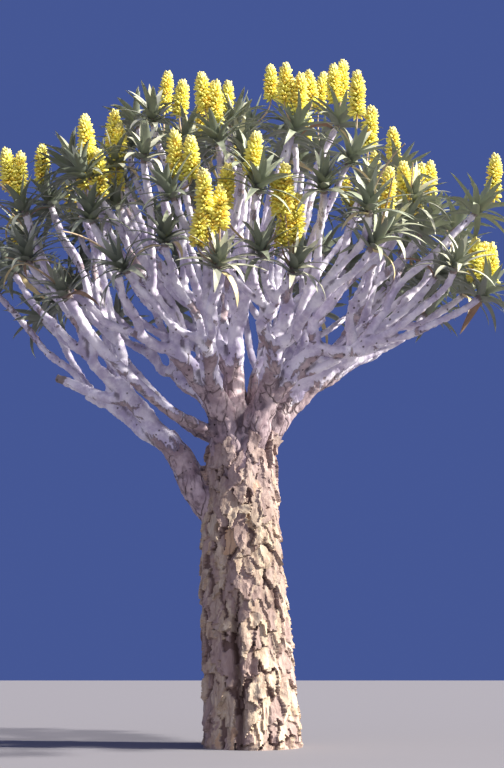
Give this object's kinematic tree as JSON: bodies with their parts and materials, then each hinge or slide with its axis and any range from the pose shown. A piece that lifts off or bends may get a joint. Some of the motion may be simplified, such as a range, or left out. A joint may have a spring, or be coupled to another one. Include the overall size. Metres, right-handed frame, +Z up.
{
  "type": "tree aloe",
  "caption": "Tree aloe in flower: a thick flaking trunk, pale boughs that fork in two again and again, and a rosette of thick leaves with upright flower spikes at each end.",
  "frame": {"origin": "middle of the flat cut under the trunk, at ground level", "axes": "+Z up; -Y towards the viewer of the picture; +X to the picture's right"},
  "size_m": [4.2881, 3.5239, 5.1861],
  "materials": {
    "trunk_bark": "rough",
    "bough_bark": "satin",
    "leaves": "matte",
    "flowers": "matte"
  },
  "bodies": {
    "root": {"trunk": "trunk_bark", "bough_back_left": "bough_bark", "bough_back_left_a": "bough_bark", "bough_back_left_b": "bough_bark", "bough_back_right": "bough_bark", "bough_back_right_a": "bough_bark", "bough_back_right_b": "bough_bark", "bough_front_left": "bough_bark", "bough_front_left_a": "bough_bark", "bough_front_left_b": "bough_bark", "bough_front_right": "bough_bark", "bough_front_right_a": "bough_bark", "bough_front_right_b": "bough_bark", "bough_high_front": "bough_bark", "bough_high_left": "bough_bark", "bough_high_right": "bough_bark", "bough_left": "bough_bark", "bough_left_a": "bough_bark", "bough_left_b": "bough_bark", "bough_right": "bough_bark", "bough_right_a": "bough_bark", "bough_right_b": "bough_bark", "stub_left": "bough_bark", "leaves_back_left_a_1": "leaves", "leaves_back_left_a_2": "leaves", "leaves_back_left_b_1": "leaves", "leaves_back_left_b_2": "leaves", "leaves_back_right_a_1": "leaves", "leaves_back_right_a_2": "leaves", "leaves_back_right_b_1": "leaves", "leaves_back_right_b_2": "leaves", "leaves_front_left_a_1": "leaves", "leaves_front_left_a_2": "leaves", "leaves_front_left_b_1": "leaves", "leaves_front_left_b_2": "leaves", "leaves_front_right_a_1": "leaves", "leaves_front_right_a_2": "leaves", "leaves_front_right_b_1": "leaves", "leaves_front_right_b_2": "leaves", "leaves_high_front_1": "leaves", "leaves_high_front_2": "leaves", "leaves_high_left_1": "leaves", "leaves_high_left_2": "leaves", "leaves_high_right_1": "leaves", "leaves_high_right_2": "leaves", "leaves_left_a_1": "leaves", "leaves_left_a_2": "leaves", "leaves_left_b_1": "leaves", "leaves_left_b_2": "leaves", "leaves_right_a_1": "leaves", "leaves_right_a_2": "leaves", "leaves_right_b_1": "leaves", "leaves_right_b_2": "leaves"}
  },
  "joints": []
}
